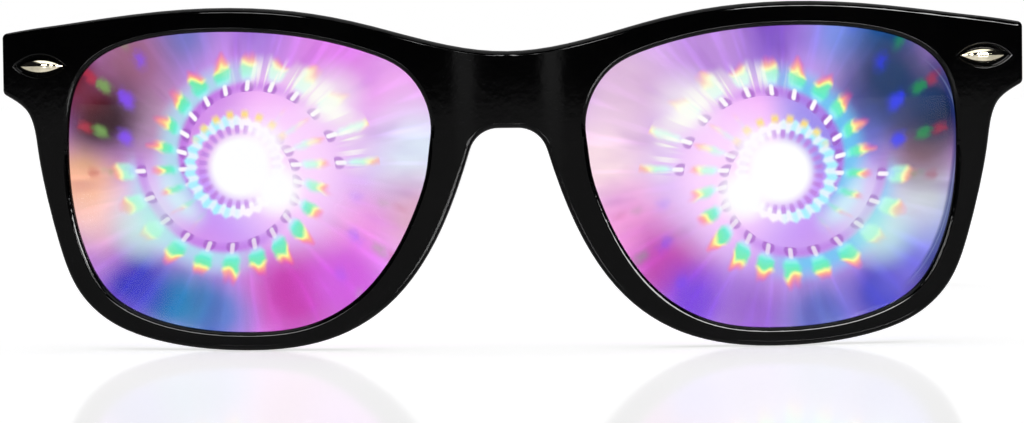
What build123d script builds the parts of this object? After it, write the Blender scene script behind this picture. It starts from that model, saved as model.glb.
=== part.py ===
# Diffraction glasses: a glossy moulded front with two grooved rims and built-in nose pads, a curved lens
# with a grating film behind it in each rim, an almond stud on each corner, and two temples that fold on
# five-knuckle screw hinges.
# The glasses stand open on a table, on their lower rims and temple tips. X runs to the wearer's left,
# Y runs back along the temples and Z is up. The origin is the middle of the footprint, on the table.
from build123d import *
import os
from math import cos, radians, sin, sqrt

# Front, as seen from the front
bridge_width = 21.9
lens_width = 52.2
lens_height = 42.4
end_width = 9.7
rim_bottom = 2.6
rim_top = 3.4
brow_end_slope = -0.16
end_corner_radius = 0.8
nose_corner_radius = 4.2

# Front, in depth
front_curve_radius = 240.0
front_thickness = 4.2
end_thickness = 7.0
end_block_width = 9.5
end_block_drop = 1.0
end_ramp_run = 2.6
end_ramp_radius = 1.5
front_edge_radius = 0.7
rear_edge_radius = 0.6
joint_edge_radius = 0.4
lip_radius = 0.6
rear_lip_bevel = 0.3

# Lens, grating film and the groove that holds them
lens_thickness = 1.0
film_thickness = 0.2
film_bond = 0.02
front_lip = 1.3
groove_depth = 0.9
groove_play = 0.08
lens_edge_play = 0.2

# Nose pads, moulded with the front
pad_height = 23.0
pad_from_middle = 9.1
pad_lean = 22.0
pad_length = 15.0
pad_width = 2.9
pad_tip_length = 9.5
pad_tip_width = 1.9
pad_reach = 5.5
pad_splay = 1.8
pad_root = 1.0
pad_round = 0.7

# Studs
stud_from_end = 5.6
stud_below_hinge = 0.4
stud_length = 6.9
stud_height = 2.2
stud_rim = 0.5
stud_bed_depth = 0.45
stud_bed_round = 0.25
stud_shank_radius = 0.6
stud_shank_length = 2.6
stud_fit = 0.05

# Temples
temple_thickness = 4.4
temple_tip_thickness = 3.2
temple_height = 8.6
temple_waist_height = 7.0
temple_tip_radius = 4.3
temple_straight = 88.0
temple_slope = 4.0
ear_bend_angle = 36.0
ear_bend_radius = 26.0
temple_bow = 4.0
bow_start_share = 0.65
temple_edge_radius = 1.0
temple_gap = 0.15

# Hinges
knuckle_radius = 1.4
knuckle_count = 5
hinge_height = 5.0
knuckle_gap = 0.05
hinge_side_gap = 0.2
hinge_back_gap = 0.5
hinge_clearance = 0.2
leaf_thickness = 0.8
leaf_corner_radius = 1.0
front_leaf_length = 4.7
temple_leaf_length = 8.5
leaf_play = 0.05
anchor_length = 2.2
anchor_radius = 0.5
anchor_spacing = 2.6
screw_radius = 0.7
screw_play = 0.05
screw_head_radius = 1.1
screw_head_height = 0.5
screw_end = 0.3
screw_slot_width = 0.3
screw_slot_depth = 0.25

# Shared overrun of every cut, and how near a joint face or the middle an edge counts as lying on it
overrun = 1.0
joint_margin = 0.1

# Places worked out from the sizes above
half_bridge = bridge_width / 2
half_width = half_bridge + lens_width + end_width
front_height = rim_bottom + lens_height + rim_top


def front_sag(x):
    """How far the front face lies behind its foremost line at x."""
    return front_curve_radius - sqrt(front_curve_radius**2 - x**2)


def along_sizes(place, *sizes):
    """A place along sizes laid end to end: 1.5 is past the first size and half of the second."""
    whole = min(int(place), len(sizes) - 1)
    return sum(sizes[:whole]) + (place - whole) * sizes[whole]


def front_point(across, up):
    """A point of the front view, in shares of bridge, lens and end, and of lower rim, lens and upper rim."""
    x = along_sizes(across, half_bridge, lens_width, end_width)
    return (x, along_sizes(up, rim_bottom, lens_height, rim_top))


# Half of the front's outline: the brow from the middle outwards, then cheek, chin and nose back inwards
brow_shares = (
    (0.0, 1.925), (0.731, 1.946), (1.059, 1.981), (1.173, 2.244), (1.346, 2.776),
    (1.576, 3.0), (1.806, 2.8), (2.19, 2.376), (3.0, 2.056),
)
cheek_shares = (
    (3.0, 1.802), (2.784, 1.773), (2.632, 1.742), (2.563, 1.712), (2.476, 1.612), (2.302, 1.411),
    (2.14, 1.276), (1.979, 1.141), (1.894, 1.038), (1.764, 0.569), (1.519, 0.0),
)
nose_shares = (
    (1.346, 0.269), (1.23, 1.0), (1.115, 1.093), (0.985, 1.282), (0.724, 1.427), (0.411, 1.671),
)

# Opening of a rim, in shares of the lens box from its lower corner at the nose
lens_shares = (
    (0.0, 0.641), (0.012, 0.763), (0.073, 0.868), (0.163, 0.923), (0.337, 0.977), (0.576, 1.0),
    (0.729, 0.989), (0.824, 0.966), (0.916, 0.915), (0.966, 0.848), (0.991, 0.76), (1.0, 0.629),
    (0.984, 0.392), (0.953, 0.262), (0.882, 0.124), (0.793, 0.058), (0.661, 0.014), (0.499, 0.0),
    (0.338, 0.024), (0.209, 0.107), (0.117, 0.232), (0.041, 0.413), (0.012, 0.528),
)

# Temple line, from the butt to the middle of its round tip, and the depth of the whole
end_depth = front_sag(half_width) + end_thickness
hinge_z = front_point(*brow_shares[-1])[1] - temple_height / 2
slope = radians(temple_slope)
drop = radians(temple_slope + ear_bend_angle)
bend_length = ear_bend_radius * (drop - slope)
bend_drop = ear_bend_radius * (cos(slope) - cos(drop))
tip_straight = (hinge_z - temple_straight * sin(slope) - bend_drop - temple_tip_radius) / sin(drop)
bend_reach = ear_bend_radius * (sin(drop) - sin(slope))
temple_reach = temple_straight * cos(slope) + bend_reach + tip_straight * cos(drop) + temple_tip_radius
front_y = -(end_depth + temple_gap + temple_reach) / 2
end_y = front_y + end_depth
butt_y = end_y + temple_gap
temple_inside_x = half_width - temple_thickness
hinge_x = temple_inside_x - hinge_side_gap
hinge_y = end_y + hinge_back_gap
pocket_radius = knuckle_radius + hinge_clearance
knuckle_height = hinge_height / knuckle_count
hinge_bottom = hinge_z - hinge_height / 2
pocket_bottom = hinge_bottom - screw_end - hinge_clearance
stud_x = half_width - stud_from_end
stud_z = hinge_z - stud_below_hinge


def rim_opening(grow):
    """A rim's opening as a closed curve in the current front view, grown by that much all round."""
    wide = lens_width + 2 * grow
    high = lens_height + 2 * grow
    corner_x = half_bridge - grow
    corner_z = rim_bottom - grow
    Spline(*[(corner_x + u * wide, corner_z + v * high) for u, v in lens_shares], periodic=True)


def depth_band(front_depth, rear_depth):
    """The space between two depths under the front face, over one half of the front."""
    with BuildPart() as band:
        with BuildSketch(Plane.XY.offset(-overrun)):
            with Locations((0, front_y + front_curve_radius)):
                Circle(front_curve_radius - front_depth)
                Circle(front_curve_radius - rear_depth, mode=Mode.SUBTRACT)
            with Locations((0, front_y)):
                Rectangle(
                    half_width + overrun,
                    2 * end_depth,
                    align=(Align.MIN, Align.CENTER),
                    mode=Mode.INTERSECT,
                )
        extrude(amount=front_height + 2 * overrun)
    return band.part


def front_skin(plate):
    """The plate's curved front face."""
    return plate.faces().filter_by(GeomType.CYLINDER).sort_by(SortBy.AREA)[-2:].sort_by(Axis.Y)[0]


def rear_skin(plate):
    """The plate's curved rear face."""
    return plate.faces().filter_by(GeomType.CYLINDER).sort_by(SortBy.AREA)[-2:].sort_by(Axis.Y)[-1]


def rim_plate(front_depth, rear_depth, grow):
    """A curved plate of the rim opening's outline, between two depths under the front face."""
    with BuildPart() as plate:
        with BuildSketch(Plane.XZ):
            with BuildLine():
                rim_opening(grow)
            make_face()
        extrude(amount=2 * half_width, both=True)
        add(depth_band(front_depth, rear_depth), mode=Mode.INTERSECT)
    return plate.part


def stud_plane(depth):
    """A plane at the stud, that far under the front face, looking straight out of the face."""
    lean = stud_x / front_curve_radius
    outwards = Vector(lean, -sqrt(1 - lean**2), 0)
    face_point = Vector(stud_x, front_y + front_sag(stud_x), stud_z)
    return Plane(origin=face_point - outwards * depth, x_dir=Vector(-outwards.Y, outwards.X, 0), z_dir=outwards)


def almond(length, height):
    """An almond outline of two equal arcs, in the current lines."""
    ThreePointArc((-length / 2, 0), (0, height / 2), (length / 2, 0))
    ThreePointArc((length / 2, 0), (0, -height / 2), (-length / 2, 0))


def hinge_drum(radius, bottom, top):
    """A round post on the hinge axis between two heights."""
    with BuildPart() as drum:
        with BuildSketch(Plane.XY.offset(bottom)):
            with Locations((hinge_x, hinge_y)):
                Circle(radius)
        extrude(amount=top - bottom)
    return drum.part


def other_knuckles(first):
    """Room for every second knuckle, from that one up, which the other leaf carries."""
    return [
        hinge_drum(
            pocket_radius,
            hinge_bottom + place * knuckle_height - knuckle_gap / 2,
            hinge_bottom + (place + 1) * knuckle_height + knuckle_gap / 2,
        )
        for place in range(first, knuckle_count, 2)
    ]


def leaf_shape(plane, length, grow):
    """A leaf's outline on a plane at the hinge axis, running along its X, grown by that much."""
    with BuildSketch(plane) as shape:
        Rectangle(length + grow, hinge_height + 2 * grow, align=(Align.MIN, Align.CENTER))
        fillet(shape.vertices().group_by(Axis(plane.origin, plane.x_dir))[-1], leaf_corner_radius + grow)
    return shape.sketch


def anchor_spots(plane, length):
    """The places of a leaf's two anchors, near its far end."""
    place_x = length - leaf_corner_radius - anchor_radius
    return [plane * Pos(place_x, side * anchor_spacing / 2) for side in (-1, 1)]


# The leaves lie flush in their seats: one in the rear of the front's end, one in the inside of the temple
front_leaf_plane = Plane(origin=(hinge_x, end_y, hinge_z), x_dir=(-1, 0, 0), z_dir=(0, -1, 0))
temple_leaf_plane = Plane(origin=(temple_inside_x, hinge_y, hinge_z), x_dir=(0, 1, 0), z_dir=(1, 0, 0))


def cut_leaf_seat(plane, length):
    """Cut a leaf's bed, its anchor holes and the knuckle groove out of the current part."""
    extrude(
        leaf_shape(plane.offset(-overrun), length, leaf_play),
        amount=overrun + leaf_thickness,
        mode=Mode.SUBTRACT,
    )
    with Locations(*anchor_spots(plane, length)):
        Cylinder(
            anchor_radius + leaf_play,
            leaf_thickness + anchor_length + leaf_play,
            align=(Align.CENTER, Align.CENTER, Align.MIN),
            mode=Mode.SUBTRACT,
        )
    add(hinge_drum(pocket_radius, pocket_bottom, front_height + overrun), mode=Mode.SUBTRACT)


def hinge_leaf(plane, length, first_other):
    """A leaf with its plate, anchors and knuckles, cleared for the knuckles of the other leaf."""
    with BuildPart() as leaf:
        extrude(leaf_shape(plane, length, 0), amount=leaf_thickness)
        with Locations(*anchor_spots(plane, length)):
            Cylinder(anchor_radius, leaf_thickness + anchor_length, align=(Align.CENTER, Align.CENTER, Align.MIN))
        add(hinge_drum(knuckle_radius, hinge_bottom, hinge_bottom + hinge_height))
        add(other_knuckles(first_other), mode=Mode.SUBTRACT)
        add(hinge_drum(screw_radius + screw_play, pocket_bottom, front_height), mode=Mode.SUBTRACT)
    return leaf.part


def temple_point(along, up):
    """A point of the temple's side view, at a distance along its middle line and that far above it."""
    into_bend = min(max(along - temple_straight, 0), bend_length)
    past_bend = max(along - temple_straight - bend_length, 0)
    turn = slope + into_bend / ear_bend_radius
    straight = min(along, temple_straight)
    y = butt_y + straight * cos(slope) + ear_bend_radius * (sin(turn) - sin(slope)) + past_bend * cos(turn)
    z = hinge_z - straight * sin(slope) - ear_bend_radius * (cos(slope) - cos(turn)) - past_bend * sin(turn)
    return (y + up * sin(turn), z + up * cos(turn))


# Half of the front view, from the middle of the bridge outwards
with BuildSketch(Plane.XZ) as front_view:
    with BuildLine():
        brow = Spline(*[front_point(*share) for share in brow_shares], tangents=((1, 0), (1, brow_end_slope)))
        Line(brow @ 1, front_point(*cheek_shares[0]))
        lower = Spline(*[front_point(*share) for share in cheek_shares + nose_shares])
        Line(lower @ 1, (0, (lower @ 1).Y))
        Line((0, (lower @ 1).Y), brow @ 0)
    make_face()
    for share, radius in (
        (brow_shares[-1], end_corner_radius),
        (cheek_shares[0], end_corner_radius),
        (nose_shares[-1], nose_corner_radius),
    ):
        fillet(front_view.vertices().sort_by_distance(front_point(*share))[0], radius)

# Thick end of the front, whose rear face carries the hinge
with BuildPart() as end_block:
    block_x = half_width - end_block_width
    ramp_x = block_x - end_ramp_run
    block_bottom = hinge_z - temple_height / 2 - end_block_drop
    with BuildSketch(Plane.XY.offset(block_bottom)) as block_plan:
        with BuildLine():
            Polyline(
                (ramp_x, front_y + front_sag(ramp_x) + front_thickness / 2),
                (ramp_x, front_y + front_sag(ramp_x) + front_thickness),
                (block_x, end_y),
                (half_width, end_y),
                (half_width, end_y - end_thickness / 2),
                close=True,
            )
        make_face()
        fillet(block_plan.vertices().sort_by_distance((block_x, end_y))[0], end_ramp_radius)
    extrude(amount=front_height - block_bottom)
    extrude(front_view.sketch, amount=2 * half_width, both=True, mode=Mode.INTERSECT)
    rear_face = end_block.faces().sort_by(Axis.Y)[-1]
    outline_edges = rear_face.edges().filter_by(GeomType.LINE, reverse=True)
    outline_edges += rear_face.edges().filter_by(Axis.Z).sort_by(Axis.X)[-1:]
    fillet(outline_edges, joint_edge_radius)

# Front: a curved plate of that outline, softened, opened and grooved for the lens
with BuildPart() as front_half:
    add(depth_band(0, front_thickness))
    extrude(front_view.sketch, amount=2 * half_width, both=True, mode=Mode.INTERSECT)
    for skin, edge_radius in ((front_skin, front_edge_radius), (rear_skin, rear_edge_radius)):
        fillet(skin(front_half).edges().filter_by(lambda edge: edge.center().X > joint_margin), edge_radius)
    with BuildSketch(Plane.XZ):
        with BuildLine():
            rim_opening(0)
        make_face()
    extrude(amount=2 * half_width, both=True, mode=Mode.SUBTRACT)
    fillet(front_skin(front_half).inner_wires()[0].edges(), lip_radius)
    chamfer(rear_skin(front_half).inner_wires()[0].edges(), rear_lip_bevel)
    add(end_block.part)
    film_back = front_lip + lens_thickness + film_bond + film_thickness
    add(rim_plate(front_lip - groove_play, film_back + groove_play, groove_depth), mode=Mode.SUBTRACT)
    with BuildSketch(stud_plane(stud_bed_depth)):
        with BuildLine():
            almond(stud_length + 2 * stud_rim, stud_height + 2 * stud_rim)
        make_face()
    extrude(amount=stud_bed_depth + overrun, mode=Mode.SUBTRACT)
    bed_mouth = front_skin(front_half).inner_wires().sort_by_distance(stud_plane(0).origin)[0]
    fillet(bed_mouth.edges(), stud_bed_round)
    with Locations(stud_plane(stud_bed_depth)):
        Cylinder(
            stud_shank_radius + stud_fit,
            stud_shank_length + stud_fit,
            align=(Align.CENTER, Align.CENTER, Align.MAX),
            mode=Mode.SUBTRACT,
        )
    cut_leaf_seat(front_leaf_plane, front_leaf_length)
    pad_y = front_y + front_sag(pad_from_middle) + front_thickness
    for pad_depth, pad_x, length, width in (
        (-pad_root, pad_from_middle, pad_length, pad_width),
        (pad_reach, pad_from_middle + pad_splay, pad_tip_length, pad_tip_width),
    ):
        with BuildSketch(Plane.XZ.offset(-pad_y - pad_depth)):
            with Locations((pad_x, pad_height)):
                SlotOverall(length, width, rotation=90 + pad_lean)
    loft()
    tip_spot = (pad_x, pad_y + pad_reach, pad_height)
    pad_tip = front_half.faces().filter_by(Plane.XZ).sort_by_distance(tip_spot)[0]
    fillet(pad_tip.edges(), pad_round)

with BuildPart() as front_frame:
    add(front_half.part)
    mirror(about=Plane.YZ)

with BuildPart() as left_lens:
    add(rim_plate(front_lip, front_lip + lens_thickness, groove_depth - lens_edge_play))

with BuildPart() as left_film:
    add(rim_plate(film_back - film_thickness, film_back, groove_depth - lens_edge_play))

# Stud: half a spindle on the floor of its bed, with a shank behind it
with BuildPart() as left_stud:
    stud_floor = stud_plane(stud_bed_depth)
    with BuildSketch(stud_floor):
        with BuildLine():
            ThreePointArc((-stud_length / 2, 0), (0, stud_height / 2), (stud_length / 2, 0))
            Line((stud_length / 2, 0), (-stud_length / 2, 0))
        make_face()
    revolve(axis=Axis(stud_floor.origin, stud_floor.x_dir), revolution_arc=180)
    with Locations(stud_floor):
        Cylinder(stud_shank_radius, stud_shank_length, align=(Align.CENTER, Align.CENTER, Align.MAX))

# Temple: its side view, taken from a plan that thins and bows inwards towards the tip
with BuildPart() as left_temple:
    bend_end = temple_straight + bend_length
    tip_length = bend_end + tip_straight
    with BuildSketch(Plane.YZ):
        with BuildLine():
            for edge_side in (1, -1):
                butt_point = temple_point(-overrun, edge_side * temple_height / 2)
                waist_point = temple_point(temple_straight, edge_side * temple_waist_height / 2)
                bend_point = temple_point(bend_end, edge_side * temple_tip_radius)
                taper = Line(butt_point, waist_point)
                paddle = Line(bend_point, temple_point(tip_length, edge_side * temple_tip_radius))
                Spline(waist_point, bend_point, tangents=(taper % 1, paddle % 0))
            Line(temple_point(-overrun, temple_height / 2), temple_point(-overrun, -temple_height / 2))
            ThreePointArc(
                temple_point(tip_length, temple_tip_radius),
                temple_point(tip_length + temple_tip_radius, 0),
                temple_point(tip_length, -temple_tip_radius),
            )
        make_face()
    extrude(amount=2 * half_width)
    with BuildSketch(Plane.XY):
        with BuildLine():
            bow_y = temple_point(temple_straight * bow_start_share, 0)[0]
            rear_y = butt_y + temple_reach + overrun
            outside = Line((half_width, butt_y), (half_width, bow_y))
            outer_bow = TangentArc(outside @ 1, (half_width - temple_bow, rear_y), tangent=outside % 1)
            parallel = Line((temple_inside_x, butt_y), (temple_inside_x, hinge_y + temple_leaf_length + overrun))
            thinning = Line(parallel @ 1, (half_width - temple_tip_thickness, bow_y))
            tip_inside = (half_width - temple_bow - temple_tip_thickness, rear_y)
            inner_bow = TangentArc(thinning @ 1, tip_inside, tangent=outside % 1)
            Line(outer_bow @ 1, inner_bow @ 1)
            Line(outside @ 0, parallel @ 0)
        make_face()
    extrude(amount=front_height, mode=Mode.INTERSECT)
    fillet(left_temple.edges().filter_by(lambda edge: edge.center().Y > butt_y + joint_margin), temple_edge_radius)
    cut_leaf_seat(temple_leaf_plane, temple_leaf_length)

with BuildPart() as left_front_hinge:
    add(hinge_leaf(front_leaf_plane, front_leaf_length, 1))

with BuildPart() as left_temple_hinge:
    add(hinge_leaf(temple_leaf_plane, temple_leaf_length, 0))

# Screw: a slotted head on the top knuckle, and a shank through all five
with BuildPart() as left_hinge_screw:
    hinge_top = hinge_bottom + hinge_height
    add(hinge_drum(screw_radius, hinge_bottom - screw_end, hinge_top))
    add(hinge_drum(screw_head_radius, hinge_top, hinge_top + screw_head_height))
    with BuildSketch(Plane.XY.offset(hinge_top + screw_head_height)):
        with Locations((hinge_x, hinge_y)):
            Rectangle(2 * screw_head_radius, screw_slot_width)
    extrude(amount=-screw_slot_depth, mode=Mode.SUBTRACT)

os.makedirs("parts", exist_ok=True)
front_frame.part.label = "front_frame"
export_step(front_frame.part, "parts/front_frame.step")
for name, piece in (
    ("lens", left_lens),
    ("film", left_film),
    ("stud", left_stud),
    ("temple", left_temple),
    ("front_hinge", left_front_hinge),
    ("temple_hinge", left_temple_hinge),
    ("hinge_screw", left_hinge_screw),
):
    for side, side_part in (("left", piece.part), ("right", mirror(piece.part, about=Plane.YZ))):
        side_part.label = side + "_" + name
        export_step(side_part, "parts/" + side_part.label + ".step")
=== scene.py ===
# Diffraction glasses: finishes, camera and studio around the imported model
from math import cos, pi, radians, sin
import bpy
from mathutils import Matrix, Vector


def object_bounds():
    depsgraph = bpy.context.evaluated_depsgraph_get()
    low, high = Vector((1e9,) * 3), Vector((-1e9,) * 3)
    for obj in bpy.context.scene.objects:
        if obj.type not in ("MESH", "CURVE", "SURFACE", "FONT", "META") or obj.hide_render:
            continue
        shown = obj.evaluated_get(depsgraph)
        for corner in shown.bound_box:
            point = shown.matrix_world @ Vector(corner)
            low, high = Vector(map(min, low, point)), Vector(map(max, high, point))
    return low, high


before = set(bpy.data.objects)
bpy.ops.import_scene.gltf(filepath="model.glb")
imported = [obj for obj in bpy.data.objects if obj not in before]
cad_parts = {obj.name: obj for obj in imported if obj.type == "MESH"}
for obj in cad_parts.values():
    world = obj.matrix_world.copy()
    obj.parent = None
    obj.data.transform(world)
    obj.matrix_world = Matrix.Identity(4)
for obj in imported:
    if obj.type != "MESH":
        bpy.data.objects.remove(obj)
cadLow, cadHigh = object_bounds()
print("frame loaded:", len(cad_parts), "pieces")


# A socket of a material that is added, multiplied and compared like a number
class Wire:
    def __init__(self, tree, socket=None):
        self.tree = tree
        self.socket = socket

    # Any node: its settings come first, then the values or wires of its sockets
    def add(self, kind, settings=None, values=None, output=0):
        made = self.tree.nodes.new(kind)
        for name, setting in (settings or {}).items():
            if name == "stops":
                setStops(made.color_ramp, setting)
            else:
                setattr(made, name, setting)
        for name, value in (values or {}).items():
            if isinstance(value, Wire):
                self.tree.links.new(value.socket, made.inputs[name])
            else:
                made.inputs[name].default_value = value
        return Wire(self.tree, made.outputs[output])

    # A sum with this wire as its first value
    def work(self, operation, *others):
        return self.add("ShaderNodeMath", {"operation": operation}, dict(enumerate((self, *others))))

    def __add__(self, other):
        return self.work("ADD", other)

    __radd__ = __add__

    def __sub__(self, other):
        return self.work("SUBTRACT", other)

    def __rsub__(self, other):
        return self.work("MULTIPLY_ADD", -1, other)

    def __mul__(self, other):
        return self.work("MULTIPLY", other)

    __rmul__ = __mul__

    def __truediv__(self, other):
        return self.work("DIVIDE", other)

    def __abs__(self):
        return self.work("ABSOLUTE")

    # Smoothly from 0 at low to 1 at high, or down again where low is the larger
    def rise(self, low, high):
        if low > high:
            return 1 - self.rise(high, low)
        values = {"Value": self, "From Min": low, "From Max": high}
        return self.add("ShaderNodeMapRange", {"interpolation_type": "SMOOTHSTEP"}, values)

    # A soft bump of 1 around a middle, down to 0 at that distance
    def bump(self, middle, reach):
        return abs(self - middle).rise(reach, 0)


def setStops(ramp, stops):
    while len(ramp.elements) < len(stops):
        ramp.elements.new(1)
    for element, (place, colour) in zip(ramp.elements, stops):
        element.position = place
        element.color = (*colour, 1)


def newMaterial(name):
    material = bpy.data.materials.new(name)
    material.use_nodes = True
    material.node_tree.nodes.clear()
    return material, Wire(material.node_tree)


def mixColours(wire, share, first, second, blend="MIX"):
    settings = {"data_type": "RGBA", "blend_type": blend}
    values = {0: share}
    for place, colour in ((6, first), (7, second)):
        values[place] = colour if isinstance(colour, Wire) else (*colour, 1)
    return wire.add("ShaderNodeMix", settings, values, 2)


def objectPlace(wire):
    return wire.add("ShaderNodeTexCoord", output=3)


def splitPlace(wire, place):
    made = wire.tree.nodes.new("ShaderNodeSeparateXYZ")
    wire.tree.links.new(place.socket, made.inputs[0])
    return [Wire(wire.tree, socket) for socket in made.outputs]


def noise(wire, place, scale, detail=3, roughness=0.5, distortion=0):
    return wire.add("ShaderNodeTexNoise", None, {
        "Vector": place, "Scale": scale, "Detail": detail, "Roughness": roughness, "Distortion": distortion,
    })


def finishMaterial(material, shader):
    output = material.node_tree.nodes.new("ShaderNodeOutputMaterial")
    material.node_tree.links.new(shader.socket, output.inputs["Surface"])
    return material


# Polished black moulding: a faint flow of the melt, orange peel and fine hairlines from handling
plasticLook = {
    "colour": (0.0008, 0.0008, 0.0009),
    "flowColour": (0.0018, 0.0017, 0.0018),
    "roughness": 0.04,
    "flowRoughness": 0.03,
    "hairlineRoughness": 0.07,
    "refraction": 1.19,
    "flowSize": 60,
    "hairlineSize": 2600,
    "hairlineStretch": (1, 0.12, 1),
    "smudgeSize": 140,
    "peelSize": 900,
    "peelDepth": 0.006,
    "peelHeight": 0.0005,
    "waveSize": 70,
    "waveDepth": 0.012,
    "waveHeight": 0.002,
}


def blackPlastic(name, look):
    material, wire = newMaterial(name)
    place = objectPlace(wire)
    flow = noise(wire, place, look["flowSize"], 4, 0.6, 1.5)
    stretched = wire.add("ShaderNodeMapping", None, {"Vector": place, "Scale": look["hairlineStretch"]})
    hairlines = noise(wire, stretched, look["hairlineSize"], 2).rise(0.62, 0.78)
    smudges = noise(wire, place, look["smudgeSize"], 3).rise(0.4, 0.75)
    roughness = look["roughness"] + look["hairlineRoughness"] * hairlines * smudges
    waves = wire.add("ShaderNodeBump", None, {
        "Strength": look["waveDepth"], "Distance": look["waveHeight"],
        "Height": noise(wire, place, look["waveSize"], 1),
    })
    peel = wire.add("ShaderNodeBump", None, {
        "Strength": look["peelDepth"], "Distance": look["peelHeight"],
        "Height": noise(wire, place, look["peelSize"], 2),
        "Normal": waves,
    })
    shader = wire.add("ShaderNodeBsdfPrincipled", None, {
        "Base Color": mixColours(wire, flow.rise(0.45, 0.75), look["colour"], look["flowColour"]),
        "Roughness": roughness + look["flowRoughness"] * flow,
        "IOR": look["refraction"],
        "Normal": peel,
    })
    return finishMaterial(material, shader)


# Plated metal: soft tone changes of the plating and fine lines along the piece
plating = {"toneSize": 500, "lineDepth": 0.06, "lineHeight": 0.0001}
chromeLook = {
    "colour": (0.6, 0.55, 0.42),
    "tint": (0.45, 0.41, 0.31),
    "roughness": 0.1,
    "lineSize": 1500,
    "lineStretch": (0.1, 1, 1),
}
hingeLook = {
    "colour": (0.72, 0.7, 0.67),
    "tint": (0.5, 0.48, 0.45),
    "roughness": 0.26,
    "lineSize": 2200,
    "lineStretch": (1, 1, 0.08),
}
screwLook = {
    "colour": (0.6, 0.59, 0.57),
    "tint": (0.42, 0.41, 0.39),
    "roughness": 0.3,
    "lineSize": 1800,
    "lineStretch": (1, 1, 0.15),
}


def platedMetal(name, look):
    material, wire = newMaterial(name)
    place = objectPlace(wire)
    stretched = wire.add("ShaderNodeMapping", None, {"Vector": place, "Scale": look["lineStretch"]})
    lines = noise(wire, stretched, look["lineSize"], 3)
    tone = noise(wire, place, plating["toneSize"], 4, 0.6)
    lineBump = wire.add("ShaderNodeBump", None, {
        "Strength": plating["lineDepth"], "Distance": plating["lineHeight"], "Height": lines,
    })
    shader = wire.add("ShaderNodeBsdfPrincipled", None, {
        "Base Color": mixColours(wire, tone.rise(0.4, 0.75), look["colour"], look["tint"]),
        "Metallic": 1.0,
        "Roughness": look["roughness"] * (0.7 + 0.6 * lines),
        "Normal": lineBump,
    })
    return finishMaterial(material, shader)


# Clear lens, with a trace of smears on its polish
lensLook = {
    "colour": (0.98, 0.98, 1.0),
    "roughness": 0.01,
    "smearRoughness": 0.03,
    "smearSize": 70,
    "toneSize": 45,
    "refraction": 1.18,
}


def clearLens(name, look):
    material, wire = newMaterial(name)
    place = objectPlace(wire)
    smears = noise(wire, place, look["smearSize"], 4, 0.55, 0.8).rise(0.55, 0.85)
    tone = noise(wire, place, look["toneSize"], 2)
    shader = wire.add("ShaderNodeBsdfPrincipled", None, {
        "Base Color": mixColours(wire, tone, look["colour"], (1, 1, 1)),
        "Roughness": look["roughness"] + look["smearRoughness"] * smears,
        "IOR": look["refraction"],
        "Transmission Weight": 1.0,
    })
    return finishMaterial(material, shader)


# Grating film, painted as its own glow: the light it would split into a two-armed spiral of small spectra
# around a white core is painted into its emission.
# Lengths are in millimetres, turns run from the nose side over the top, and each cloud of colour
# or patch is placed from the core towards the nose and up, clouds with their reach. Far marks give
# the distance past their arm, the reach along the ray and the width.
spiralLook = {
    "armStep": 6.4,
    "firstArm": 14.6,
    "raysPerTurn": 22,
    "rayTurn": 0.0055,
    "coreRadius": 4.0,
    "innerRing": 5.2,
    "innerRays": 27,
    "farArmStep": 20.9,
    "firstFarArm": 36.4,
    "surface": (0.005, 0.005, 0.006),
    "reflection": 0.12,
    "brightRays": (1.2, 1.15, 1.25),
    "darkRays": (0.8, 0.7, 0.86),
    "templeLilac": (0.46, 0.17, 0.92),
    "noseLilac": (0.94, 0.36, 0.96),
    "noseGlow": (1, 0.84, 1),
    "templeGlow": (0.85, 0.9, 1),
    "armGlow": (0.66, 0.92, 0.95),
    "dash": (1, 0.94, 1),
    "trough": (0.4, 0.08, 0.72),
    "dashShade": (0.3, 0.06, 0.5),
    "burst": (1, 1, 0.88),
    "glint": (1, 1, 0.92),
    "ring": (1, 0.92, 1),
    "ringRim": (0.4, 0.86, 1),
    "ringTips": (1, 0.75, 0.15),
    "ringGaps": (0.5, 0.2, 0.75),
    "coreSide": (1, 0.97, 1),
    "core": (1, 1, 1),
    # Painted shade of the rim's inner wall at the lens edge, and a painted highlight line along that edge
    "paintedEdgeShade": (0.01, 0.03, 0.16),
    "paintedEdgeHighlight": (0.4, 0.5, 0.8),
    "spectrum": [
        (0, (0.4, 0.95, 1)),
        (0.2, (0.12, 0.86, 0.62)),
        (0.42, (0.16, 0.86, 0.4)),
        (0.56, (1, 1, 0.3)),
        (0.7, (1, 0.4, 0.25)),
        (0.95, (1, 0.05, 0.25)),
    ],
    "paleSpectrum": [
        (0, (0.8, 1, 1)),
        (0.4, (0.72, 1, 0.88)),
        (0.6, (1, 1, 0.6)),
        (0.78, (1, 0.55, 0.3)),
        (0.95, (1, 0.3, 0.4)),
    ],
    "patches": [((13.3, 9.8), (1, 1, 0.93)), ((-14.3, -8.8), (0.5, 0.94, 0.74))],
    "farMarks": [(2.1, 2.3, 2.0), (5.9, 2.1, 1.5), (8.3, 1.9, 1.5)],
}
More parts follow.
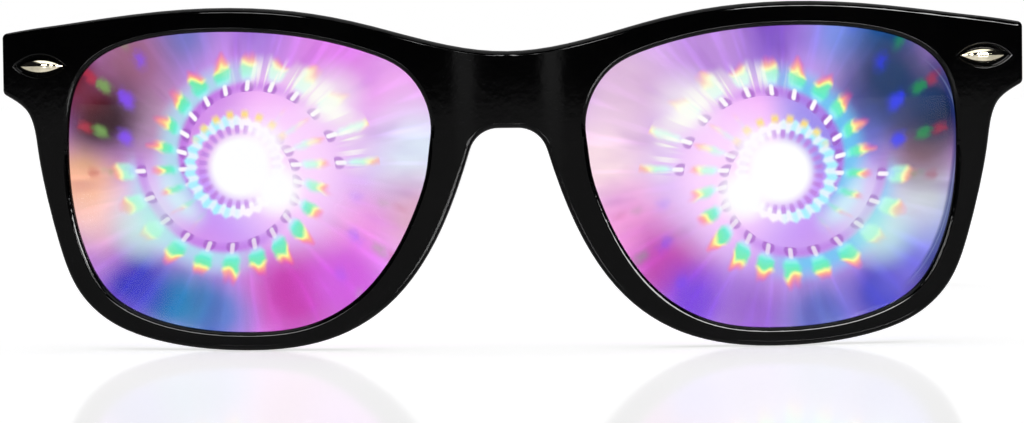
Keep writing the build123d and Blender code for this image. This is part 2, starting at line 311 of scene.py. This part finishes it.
# The outline of the openings, in millimetres from the middle of the glasses and from the floor
opening = {"middle": (37.85, 23.8), "half": (25.5, 21.1), "lean": 0.8, "widening": 4.0, "power": 2.7}
rightFilm = {
    "core": (-38.2, 25.9),
    "ground": (0.66, 0.3, 0.84),
    "haze": (0.4, 0.74, 0.86),
    "inner": (0.62, 0.2, 0.8),
    "farColours": ((0.24, 0.07, 1), (0.2, 0.42, 0.1), (0.5, 0.03, 0.06)),
    "hasPaintedEdgeShade": False,
    "clouds": [
        ((-13, 7), 9, (0.5, 0.3, 0.5)),
        ((-9, 19), 9, (0.18, 0.18, 0.55)),
        ((-16, 15), 10, (0.32, 0.12, 0.22)),
        ((3, 20), 9, (0.4, 0.2, 0.72)),
        ((15, 16), 12, (0.72, 0.22, 0.78)),
        ((23, 9), 11, (0.86, 0.4, 0.86)),
        ((26, 1), 12, (0.72, 0.8, 0.92)),
        ((25, -8), 10, (0.72, 0.4, 0.56)),
        ((16, -10), 9, (0.86, 0.3, 0.76)),
        ((8, -18), 12, (0.56, 0.03, 0.42)),
        ((15, -16), 9, (0.64, 0.1, 0.72)),
        ((-4, -21), 8, (0.12, 0.2, 0.62)),
        ((-10, -19), 9, (0.006, 0.2, 0.44)),
        ((-16, -16), 9, (0.04, 0.04, 0.5)),
        ((-21, -10), 8, (0.5, 0.22, 0.6)),
        ((-22, -5), 9, (0.92, 0.58, 0.56)),
        ((-23, -1), 8, (0.95, 0.5, 0.32)),
        ((-20, 7), 10, (0.03, 0.004, 0.012)),
        ((-25, 13), 9, (0.14, 0.01, 0.02)),
    ],
}
leftFilm = {
    "core": (38.2, 24.4),
    "ground": (0.6, 0.34, 0.84),
    "haze": (0.1, 0.58, 0.88),
    "inner": (0.18, 0.16, 0.8),
    "farColours": ((0.02, 0.04, 1), (0.005, 0.3, 0.07), (0.36, 0.02, 0.06)),
    "hasPaintedEdgeShade": True,
    "clouds": [
        ((-13, 7), 9, (0.14, 0.16, 0.62)),
        ((-9, 20), 9, (0.2, 0.28, 0.8)),
        ((2, 20), 10, (0.24, 0.1, 0.6)),
        ((11, 18), 10, (0.5, 0.26, 0.7)),
        ((22, 12), 12, (0.74, 0.5, 0.72)),
        ((26, 1), 12, (0.95, 0.72, 0.79)),
        ((22, -8), 10, (0.88, 0.34, 0.7)),
        ((16, -13), 10, (0.5, 0.05, 0.42)),
        ((12, -18), 8, (0.2, 0.05, 0.72)),
        ((4, -20), 9, (0.3, 0.12, 0.6)),
        ((-6, -21), 9, (0.12, 0.16, 0.55)),
        ((-14, -17), 9, (0.05, 0.05, 0.5)),
        ((-19, -12), 9, (0.16, 0.14, 0.7)),
        ((-23, -7), 8, (0.3, 0.34, 0.78)),
        ((-20, -3), 8, (0.56, 0.6, 0.66)),
        ((-20, 3), 8, (0.22, 0.12, 0.16)),
        ((-15, 20), 8, (0.02, 0.12, 0.4)),
        ((-22, 9), 10, (0, 0.008, 0.05)),
        ((-16, 13), 12, (0, 0.03, 0.12)),
    ],
}


def paintedGlowFilm(name, look, film):
    material, wire = newMaterial(name)
    x, z = splitPlace(wire, objectPlace(wire))[::2]
    coreX, coreZ = film["core"]
    towardsNose = 1 if coreX < 0 else -1
    across = (x * 1000 - coreX) * towardsNose
    up = z * 1000 - coreZ
    radius = (across * across + up * up).work("SQRT")
    noseward = across / radius
    upward = up / radius
    turn = (up.work("ARCTAN2", across) / (2 * pi)).work("FRACT")
    spot = wire.add("ShaderNodeCombineXYZ", None, {"X": across, "Y": up})

    def awayFrom(place):
        return wire.add("ShaderNodeVectorMath", {"operation": "DISTANCE"}, {0: spot, 1: (*place, 0)}, 1)

    # Noise drawn out along the rays
    def streaks(perTurn, alongScale, detail=2):
        place = wire.add("ShaderNodeCombineXYZ", None, {"X": turn * perTurn, "Y": radius * alongScale})
        return noise(wire, place, 1, detail)

    # Soft clouds of colour behind everything, with rays running outwards through them
    colour = wire.add("ShaderNodeRGB")
    colour.socket.default_value = (*film["ground"], 1)
    blur = noise(wire, spot, 0.12, 2)
    for place, reach, cloudColour in film["clouds"]:
        cloud = (awayFrom(place) + 3 * blur - 1.5).rise(reach, 0.15 * reach)
        colour = mixColours(wire, cloud, colour, cloudColour)
    outer = radius.rise(11, 17)
    brightRays = streaks(70, 0.06).rise(0.45, 0.8) * outer
    colour = mixColours(wire, brightRays, colour, look["brightRays"], "MULTIPLY")
    darkRays = streaks(30, 0.08).rise(0.5, 0.2) * outer
    colour = mixColours(wire, darkRays, colour, look["darkRays"], "MULTIPLY")

    # Lilac light around the core, pink towards the nose and violet towards the temple and below
    lilac = mixColours(wire, (noseward + upward).rise(-1.2, 0.3), look["templeLilac"], look["noseLilac"])
    lilac = mixColours(wire, (upward - noseward).rise(0.6, 1.3), lilac, film["inner"])
    leaning = radius - 2.5 * noseward - 0.6 * upward
    colour = mixColours(wire, 0.92 * leaning.rise(14.5, 8), colour, lilac)
    colour = mixColours(wire, 0.72 * awayFrom((6, 0)).rise(16, 3), colour, look["noseGlow"])
    colour = mixColours(wire, 0.5 * awayFrom((-13, -6)).rise(9, 1), colour, look["templeGlow"])

    # The two arms: distance past the nearest arm within, and distance from the nearest ray
    arm = (radius + 2 * look["armStep"] * turn - look["firstArm"]) / look["armStep"]
    past = ((arm + 0.14).work("FRACT") - 0.14) * look["armStep"]
    armRadius = radius - past
    ray = look["raysPerTurn"] * (turn - look["rayTurn"]) + 0.5
    offLine = abs(ray.work("FRACT") - 0.5) * radius * (2 * pi / look["raysPerTurn"])
    ragged = streaks(look["raysPerTurn"] * 2.1, 0.2, 1) - 0.5
    flicker = noise(wire, spot, 0.9, 2) - 0.5
    onArms = armRadius.rise(15.0, 14.5)
    strong = armRadius.rise(5.6, 8.4)

    # A blue-green haze on the temple side, and the dark band that the dashes stand in
    haze = past.rise(0, 1) * past.rise(4.8, 1.6) * onArms * armRadius.rise(6, 8) * across.rise(-18, -13)
    colour = mixColours(wire, 0.85 * haze * noseward.rise(0.35, -0.25), colour, film["haze"])
    glow = past.bump(3, 2.6) * armRadius.bump(7.2, 1.6) * noseward.rise(-0.3, -0.8)
    colour = mixColours(wire, 0.75 * glow, colour, look["armGlow"])
    trough = past.bump(-0.1, 1.3) * onArms * strong
    colour = mixColours(wire, 0.4 * trough * noseward.rise(0.9, 0.2), colour, look["trough"])
    shade = ((past + 0.35) * (past + 0.35) + offLine * offLine).work("SQRT").rise(1.1, 0.7)
    colour = mixColours(wire, 0.6 * shade * onArms * strong, colour, look["dashShade"])
    beyond = (abs(past) - 0.5).work("MAXIMUM", 0)
    dash = (beyond * beyond + offLine * offLine).work("SQRT").rise(0.45, 0.18)
    dash = dash * onArms * armRadius.rise(7.2, 7.7) * (0.65 + 0.35 * upward.rise(-0.6, 0.2))
    colour = mixColours(wire, dash, colour, look["dash"])

    # A spectrum past each dash: wide above and below, narrow to the sides, with ragged tips,
    # and bleached towards the nose and the top
    slender = noseward.rise(0.82, 0.96) * armRadius.rise(10, 12)
    along = (past - 0.8) / (4.1 + 1.4 * slender) + 1.1 * ragged * past.rise(0.8, 4)
    size = (0.55 + 0.65 * armRadius.rise(8, 11)) * strong * (1 - 0.6 * slender)
    size = size * (0.6 + 0.4 * along.rise(-0.1, 0.3)) * (1 - 0.4 * along.rise(0.5, 1))
    flare = (size - offLine + 0.6 * flicker).rise(-0.5, 0.45)
    flare = flare * along.rise(-0.15, 0.17) * along.rise(1.12, 0.64) * onArms * strong
    bleach = (noseward + 0.7 * upward).rise(0.3, 1.2)
    bleach = bleach + 0.6 * noseward.rise(-0.6, -0.85) * armRadius.rise(12, 13.4)
    spectrum = wire.add("ShaderNodeValToRGB", {"stops": look["spectrum"]}, {"Fac": along})
    paleSpectrum = wire.add("ShaderNodeValToRGB", {"stops": look["paleSpectrum"]}, {"Fac": along})
    spectrum = mixColours(wire, 0.85 * bleach, spectrum, paleSpectrum)
    colour = mixColours(wire, 0.95 * flare, colour, spectrum)
    burst = along.bump(0.35, 0.65) * (upward + noseward).rise(1.0, 1.35) * armRadius.rise(11, 12.5)
    colour = mixColours(wire, 0.4 * burst * onArms * strong, colour, look["burst"])
    glint = streaks(110, 0.1, 1).rise(0.5, 0.62) * past.bump(2, 3) * (upward + noseward).rise(0.75, 1.3)
    colour = mixColours(wire, 0.8 * glint * onArms * armRadius.rise(9, 11), colour, look["glint"])

    # Bright patches where the arms end: white above the nose side, pale green below the temple side
    for place, patchColour in look["patches"]:
        colour = mixColours(wire, 0.6 * awayFrom(place).rise(6.5, 0.5), colour, patchColour)

    # Far spectra, strongest near the temple and fainter across from it
    farArm = (radius + 2 * look["farArmStep"] * turn - look["firstFarArm"]) / look["farArmStep"]
    farPast = (farArm.work("FRACT") + 0.1).work("FRACT") * look["farArmStep"] + 2 * flicker
    farStrength = (turn.bump(0.43, 0.14) + 0.4 * turn.bump(0.91, 0.1) + 0.15) * radius.rise(14, 17)
    for (place, reach, width), farColour in zip(look["farMarks"], film["farColours"]):
        mark = farPast.bump(place, reach) * (offLine + 0.7 * flicker).rise(width, 0) * farStrength
        colour = mixColours(wire, 0.75 * mark.rise(0, 1.1), colour, farColour)

    # Toothed inner ring with a blue rim and small yellow tips, and the white core
    tooth = abs((look["innerRays"] * turn).work("FRACT") - 0.5)
    ringRadius = radius + 0.8 * noseward - 0.9 * tooth
    blueRim = noseward.rise(0.2, -0.5) * (0.4 + 0.6 * tooth.rise(0.1, 0.4))
    ringColour = mixColours(wire, blueRim, look["ring"], look["ringRim"])
    colour = mixColours(wire, ringRadius.bump(6.1, 1.3).rise(0, 0.7), colour, ringColour)
    tips = radius.bump(7.5, 1.0) * offLine.rise(0.8, 0.2) * upward.rise(0.3, 0.8)
    colour = mixColours(wire, 0.9 * tips, colour, look["ringTips"])
    gaps = radius.bump(look["innerRing"] + 0.1, 1.0).rise(0.05, 0.5) * tooth.rise(0.16, 0.34)
    gaps = gaps * (0.2 + 0.8 * noseward.rise(0.6, 0))
    colour = mixColours(wire, 0.75 * gaps, colour, look["ringGaps"])
    colour = mixColours(wire, awayFrom((5.2, -3.2)).rise(4.9, 1.6), colour, look["core"])
    colour = mixColours(wire, 0.8 * awayFrom((3.6, 3.4)).rise(4.2, 1.0), colour, look["coreSide"])
    core = radius.rise(look["coreRadius"] + 1.3, look["coreRadius"] - 0.5)
    colour = mixColours(wire, core, colour, look["core"])

    # Painted shade: a dark band along the temple side of the lens where the rim's inner wall shows through,
    # whose outline is a leaning superellipse, with a painted highlight line along the lens edge
    if film["hasPaintedEdgeShade"]:
        middleX, middleZ = opening["middle"]
        halfWidth, halfHeight = opening["half"]
        power = opening["power"]
        height = (z * 1000 - middleZ) / halfHeight
        width = abs(x * 1000) - middleX + opening["lean"] * height
        width = width / (halfWidth + opening["widening"] * height)
        outline = abs(width).work("POWER", power) + abs(height).work("POWER", power)
        outline = outline.work("POWER", 1 / power)
        onSide = width.rise(0.7, 0.93)
        band = 0.75 * outline.rise(0.95, 0.975) * onSide
        colour = mixColours(wire, band, colour, look["paintedEdgeShade"])
        # Painted highlight: a thin light line along the lens edge
        line = 0.25 * outline.bump(0.982, 0.007) * onSide
        colour = mixColours(wire, line, colour, look["paintedEdgeHighlight"])

    # Painted light: the diffracted colours glow as the film's emission, though the film is no lamp
    shader = wire.add("ShaderNodeBsdfPrincipled", None, {
        "Base Color": (*look["surface"], 1),
        "Roughness": 0.2 + 0.1 * blur,
        "Specular IOR Level": look["reflection"],
        "Emission Color": colour,
        "Emission Strength": 1.0,
    })
    return finishMaterial(material, shader)


framePlastic = blackPlastic("framePlastic", plasticLook)
templePlastic = blackPlastic("templePlastic", plasticLook)
finishes = {
    "front_frame": framePlastic,
    "left_lens": clearLens("lensPlastic", lensLook),
    # Both films glow with painted diffracted light
    "left_film": paintedGlowFilm("leftGratingFilm", spiralLook, leftFilm),
    "right_film": paintedGlowFilm("rightGratingFilm", spiralLook, rightFilm),
    "left_stud": platedMetal("studChrome", chromeLook),
    "left_temple": templePlastic,
    "left_front_hinge": platedMetal("hingeMetal", hingeLook),
    "left_hinge_screw": platedMetal("screwSteel", screwLook),
}
finishes["left_temple_hinge"] = finishes["left_front_hinge"]
for name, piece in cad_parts.items():
    material = finishes.get(name, finishes.get(name.replace("right", "left")))
    piece.data.materials.clear()
    piece.data.materials.append(material)

# The floor in the photograph mirrors only the front
for name in ("left_temple", "right_temple"):
    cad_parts[name].visible_glossy = False
print("finishes on", len(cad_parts), "pieces")


# Studio: a pale floor that mirrors faintly, a wide soft light from above, and a room that only
# polished faces mirror: dark in front, pale behind, with a soft box overhead and narrow bright panels.
# Panels are given in degrees from straight ahead and above the horizon.
studio = {
    "floorSize": 8.0,
    "floorColour": (0.9, 0.9, 0.9),
    "floorTint": (0.93, 0.93, 0.93),
    "floorGlow": 0.68,
    "floorGloss": 0.18,
    "floorGlossRoughness": 0.07,
    "skyPower": 1.25,
    "skyWidth": 100,
    "dark": (0.012, 0.012, 0.014),
    "paleBehind": (0.75, 0.95),
    "overhead": 2.4,
    "overheadRise": (0.66, 0.76),
    "overheadSides": (0.6, 0.45),
    "panels": [
        {"middle": (30, 19), "reach": (15, 8), "light": 75},
        {"middle": (-23, 19), "reach": (6, 7), "light": 33},
        {"middle": (-4.4, 17), "reach": (0.6, 8), "light": 55},
        {"middle": (-0.6, 17), "reach": (1.2, 8), "light": 55},
        {"middle": (-5.8, 2), "reach": (0.9, 6), "light": 1.3},
        {"middle": (1.7, 2), "reach": (0.8, 6), "light": 1.6},
    ],
}
floorMiddle = Vector((0, 0, cadLow.z))


def paleFloor(look):
    bpy.ops.object.select_all(action="DESELECT")
    bpy.ops.mesh.primitive_plane_add(size=look["floorSize"], location=floorMiddle)
    floor = bpy.context.object
    floor.name = "paleFloor"
    material, wire = newMaterial("paleFloor")
    place = objectPlace(wire)
    tone = noise(wire, place, 3, 3)
    matt = wire.add("ShaderNodeBsdfPrincipled", None, {
        "Base Color": mixColours(wire, tone, look["floorColour"], look["floorTint"]),
        "Roughness": 1.0,
        "Specular IOR Level": 0.0,
        "Emission Color": (1, 1, 1, 1),
        "Emission Strength": look["floorGlow"],
    })
    gloss = wire.add("ShaderNodeBsdfGlossy", None, {
        "Color": (1, 1, 1, 1),
        "Roughness": look["floorGlossRoughness"],
    })
    shader = wire.add("ShaderNodeMixShader", None, {0: look["floorGloss"], 1: matt, 2: gloss})
    floor.data.materials.append(finishMaterial(material, shader))


# An even light from above that reaches the whole floor, and that no face mirrors
def softSky(look):
    light = bpy.data.lights.new("softSky", "SUN")
    light.energy = look["skyPower"]
    light.angle = radians(look["skyWidth"])
    sky = bpy.data.objects.new("softSky", light)
    sky.visible_glossy = False
    bpy.context.scene.collection.objects.link(sky)


def mirroredRoom(look):
    world = bpy.data.worlds.new("mirroredRoom")
    bpy.context.scene.world = world
    world.use_nodes = True
    world.node_tree.nodes.clear()
    wire = Wire(world.node_tree)
    across, back, up = splitPlace(wire, wire.add("ShaderNodeTexCoord", output=0))
    room = mixColours(wire, back.rise(*look["paleBehind"]), look["dark"], (1, 1, 1))
    overhead = up.rise(*look["overheadRise"]) * abs(across).rise(*look["overheadSides"])
    brightness = look["overhead"] * overhead
    aside = across.work("ARCTAN2", 0 - back) * (180 / pi)
    above = up.work("ARCSINE") * (180 / pi)
    for panel in look["panels"]:
        middle, height = panel["middle"]
        reach, heightReach = panel["reach"]
        onPanel = abs(aside - middle).rise(reach + 0.3, reach - 0.3)
        onPanel = onPanel * abs(above - height).rise(heightReach + 1, heightReach - 1)
        brightness = brightness + panel["light"] * onPanel
    room = mixColours(wire, 1.0, room, wire.add("ShaderNodeCombineColor", None, {
        "Red": brightness, "Green": brightness, "Blue": brightness,
    }), "ADD")
    rays = wire.tree.nodes.new("ShaderNodeLightPath")
    camera, glossy = Wire(wire.tree, rays.outputs[0]), Wire(wire.tree, rays.outputs[3])
    # Only mirrored rays see the room, and the camera sees white
    shown = mixColours(wire, glossy, (0, 0, 0), room)
    shown = mixColours(wire, camera, shown, (1, 1, 1))
    background = wire.add("ShaderNodeBackground", None, {"Color": shown, "Strength": 1.0})
    output = world.node_tree.nodes.new("ShaderNodeOutputWorld")
    world.node_tree.links.new(background.socket, output.inputs["Surface"])


paleFloor(studio)
softSky(studio)
mirroredRoom(studio)
print("studio ready")


# Camera: far off and almost level, as in the photograph, which is 1024 pixels wide
cameraView = {
    "aim": (0.00044, cadLow.y, 0.0194),
    "distance": 0.5,
    "turn": 2.05,
    "lift": 2.2,
    "roll": -0.68,
    "focalPixels": 3577,
    "picturePixels": 1024,
}


# Angles are in degrees: turned towards the wearer's left, lifted above the floor, rolled about the view
def setCamera(look):
    turn = radians(look["turn"])
    lift = radians(look["lift"])
    away = Vector((sin(turn) * cos(lift), -cos(turn) * cos(lift), sin(lift)))
    data = bpy.data.cameras.new("camera")
    data.sensor_width = 36
    data.lens = look["focalPixels"] / look["picturePixels"] * data.sensor_width
    data.clip_start = 0.01
    camera = bpy.data.objects.new("camera", data)
    bpy.context.scene.collection.objects.link(camera)
    level = (-away).to_track_quat("-Z", "Y").to_matrix().to_4x4()
    rolled = level @ Matrix.Rotation(radians(look["roll"]), 4, "Z")
    camera.matrix_world = Matrix.Translation(Vector(look["aim"]) + away * look["distance"]) @ rolled
    bpy.context.scene.camera = camera


setCamera(cameraView)
bpy.context.scene.view_settings.view_transform = "Standard"
print("camera set")
